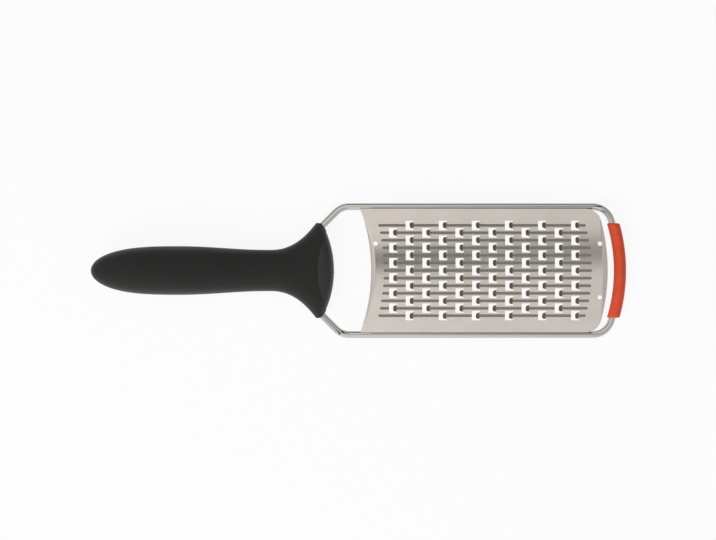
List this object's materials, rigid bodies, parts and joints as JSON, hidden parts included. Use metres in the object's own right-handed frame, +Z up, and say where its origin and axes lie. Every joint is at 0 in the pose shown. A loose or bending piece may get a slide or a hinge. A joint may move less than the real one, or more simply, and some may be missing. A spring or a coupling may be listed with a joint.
{
  "type": "rasp zester",
  "caption": "Hand-held rasp zester: a broad arched etched-steel grating blade on a bent wire frame, with a soft flared handle and a non-slip foot.",
  "frame": {"origin": "centre of the zester's length and width, level with the surface that its grip and foot rest on", "axes": "+X from the handle's tail to the foot, +Y across the blade, +Z up out of the toothed face"},
  "size_m": [0.3106, 0.0782, 0.0223],
  "materials": {
    "grip": "soft-touch, fine matte texture",
    "insert": "fine satin moulding",
    "wire": "polished stainless wire",
    "blade": "satin stainless sheet with matte etched grooves",
    "foot": "satin non-slip elastomer"
  },
  "bodies": {
    "root": {"handle_grip": "grip", "handle_core": "insert", "wire_frame": "wire", "grater_blade": "blade", "end_foot": "foot"}
  },
  "joints": []
}
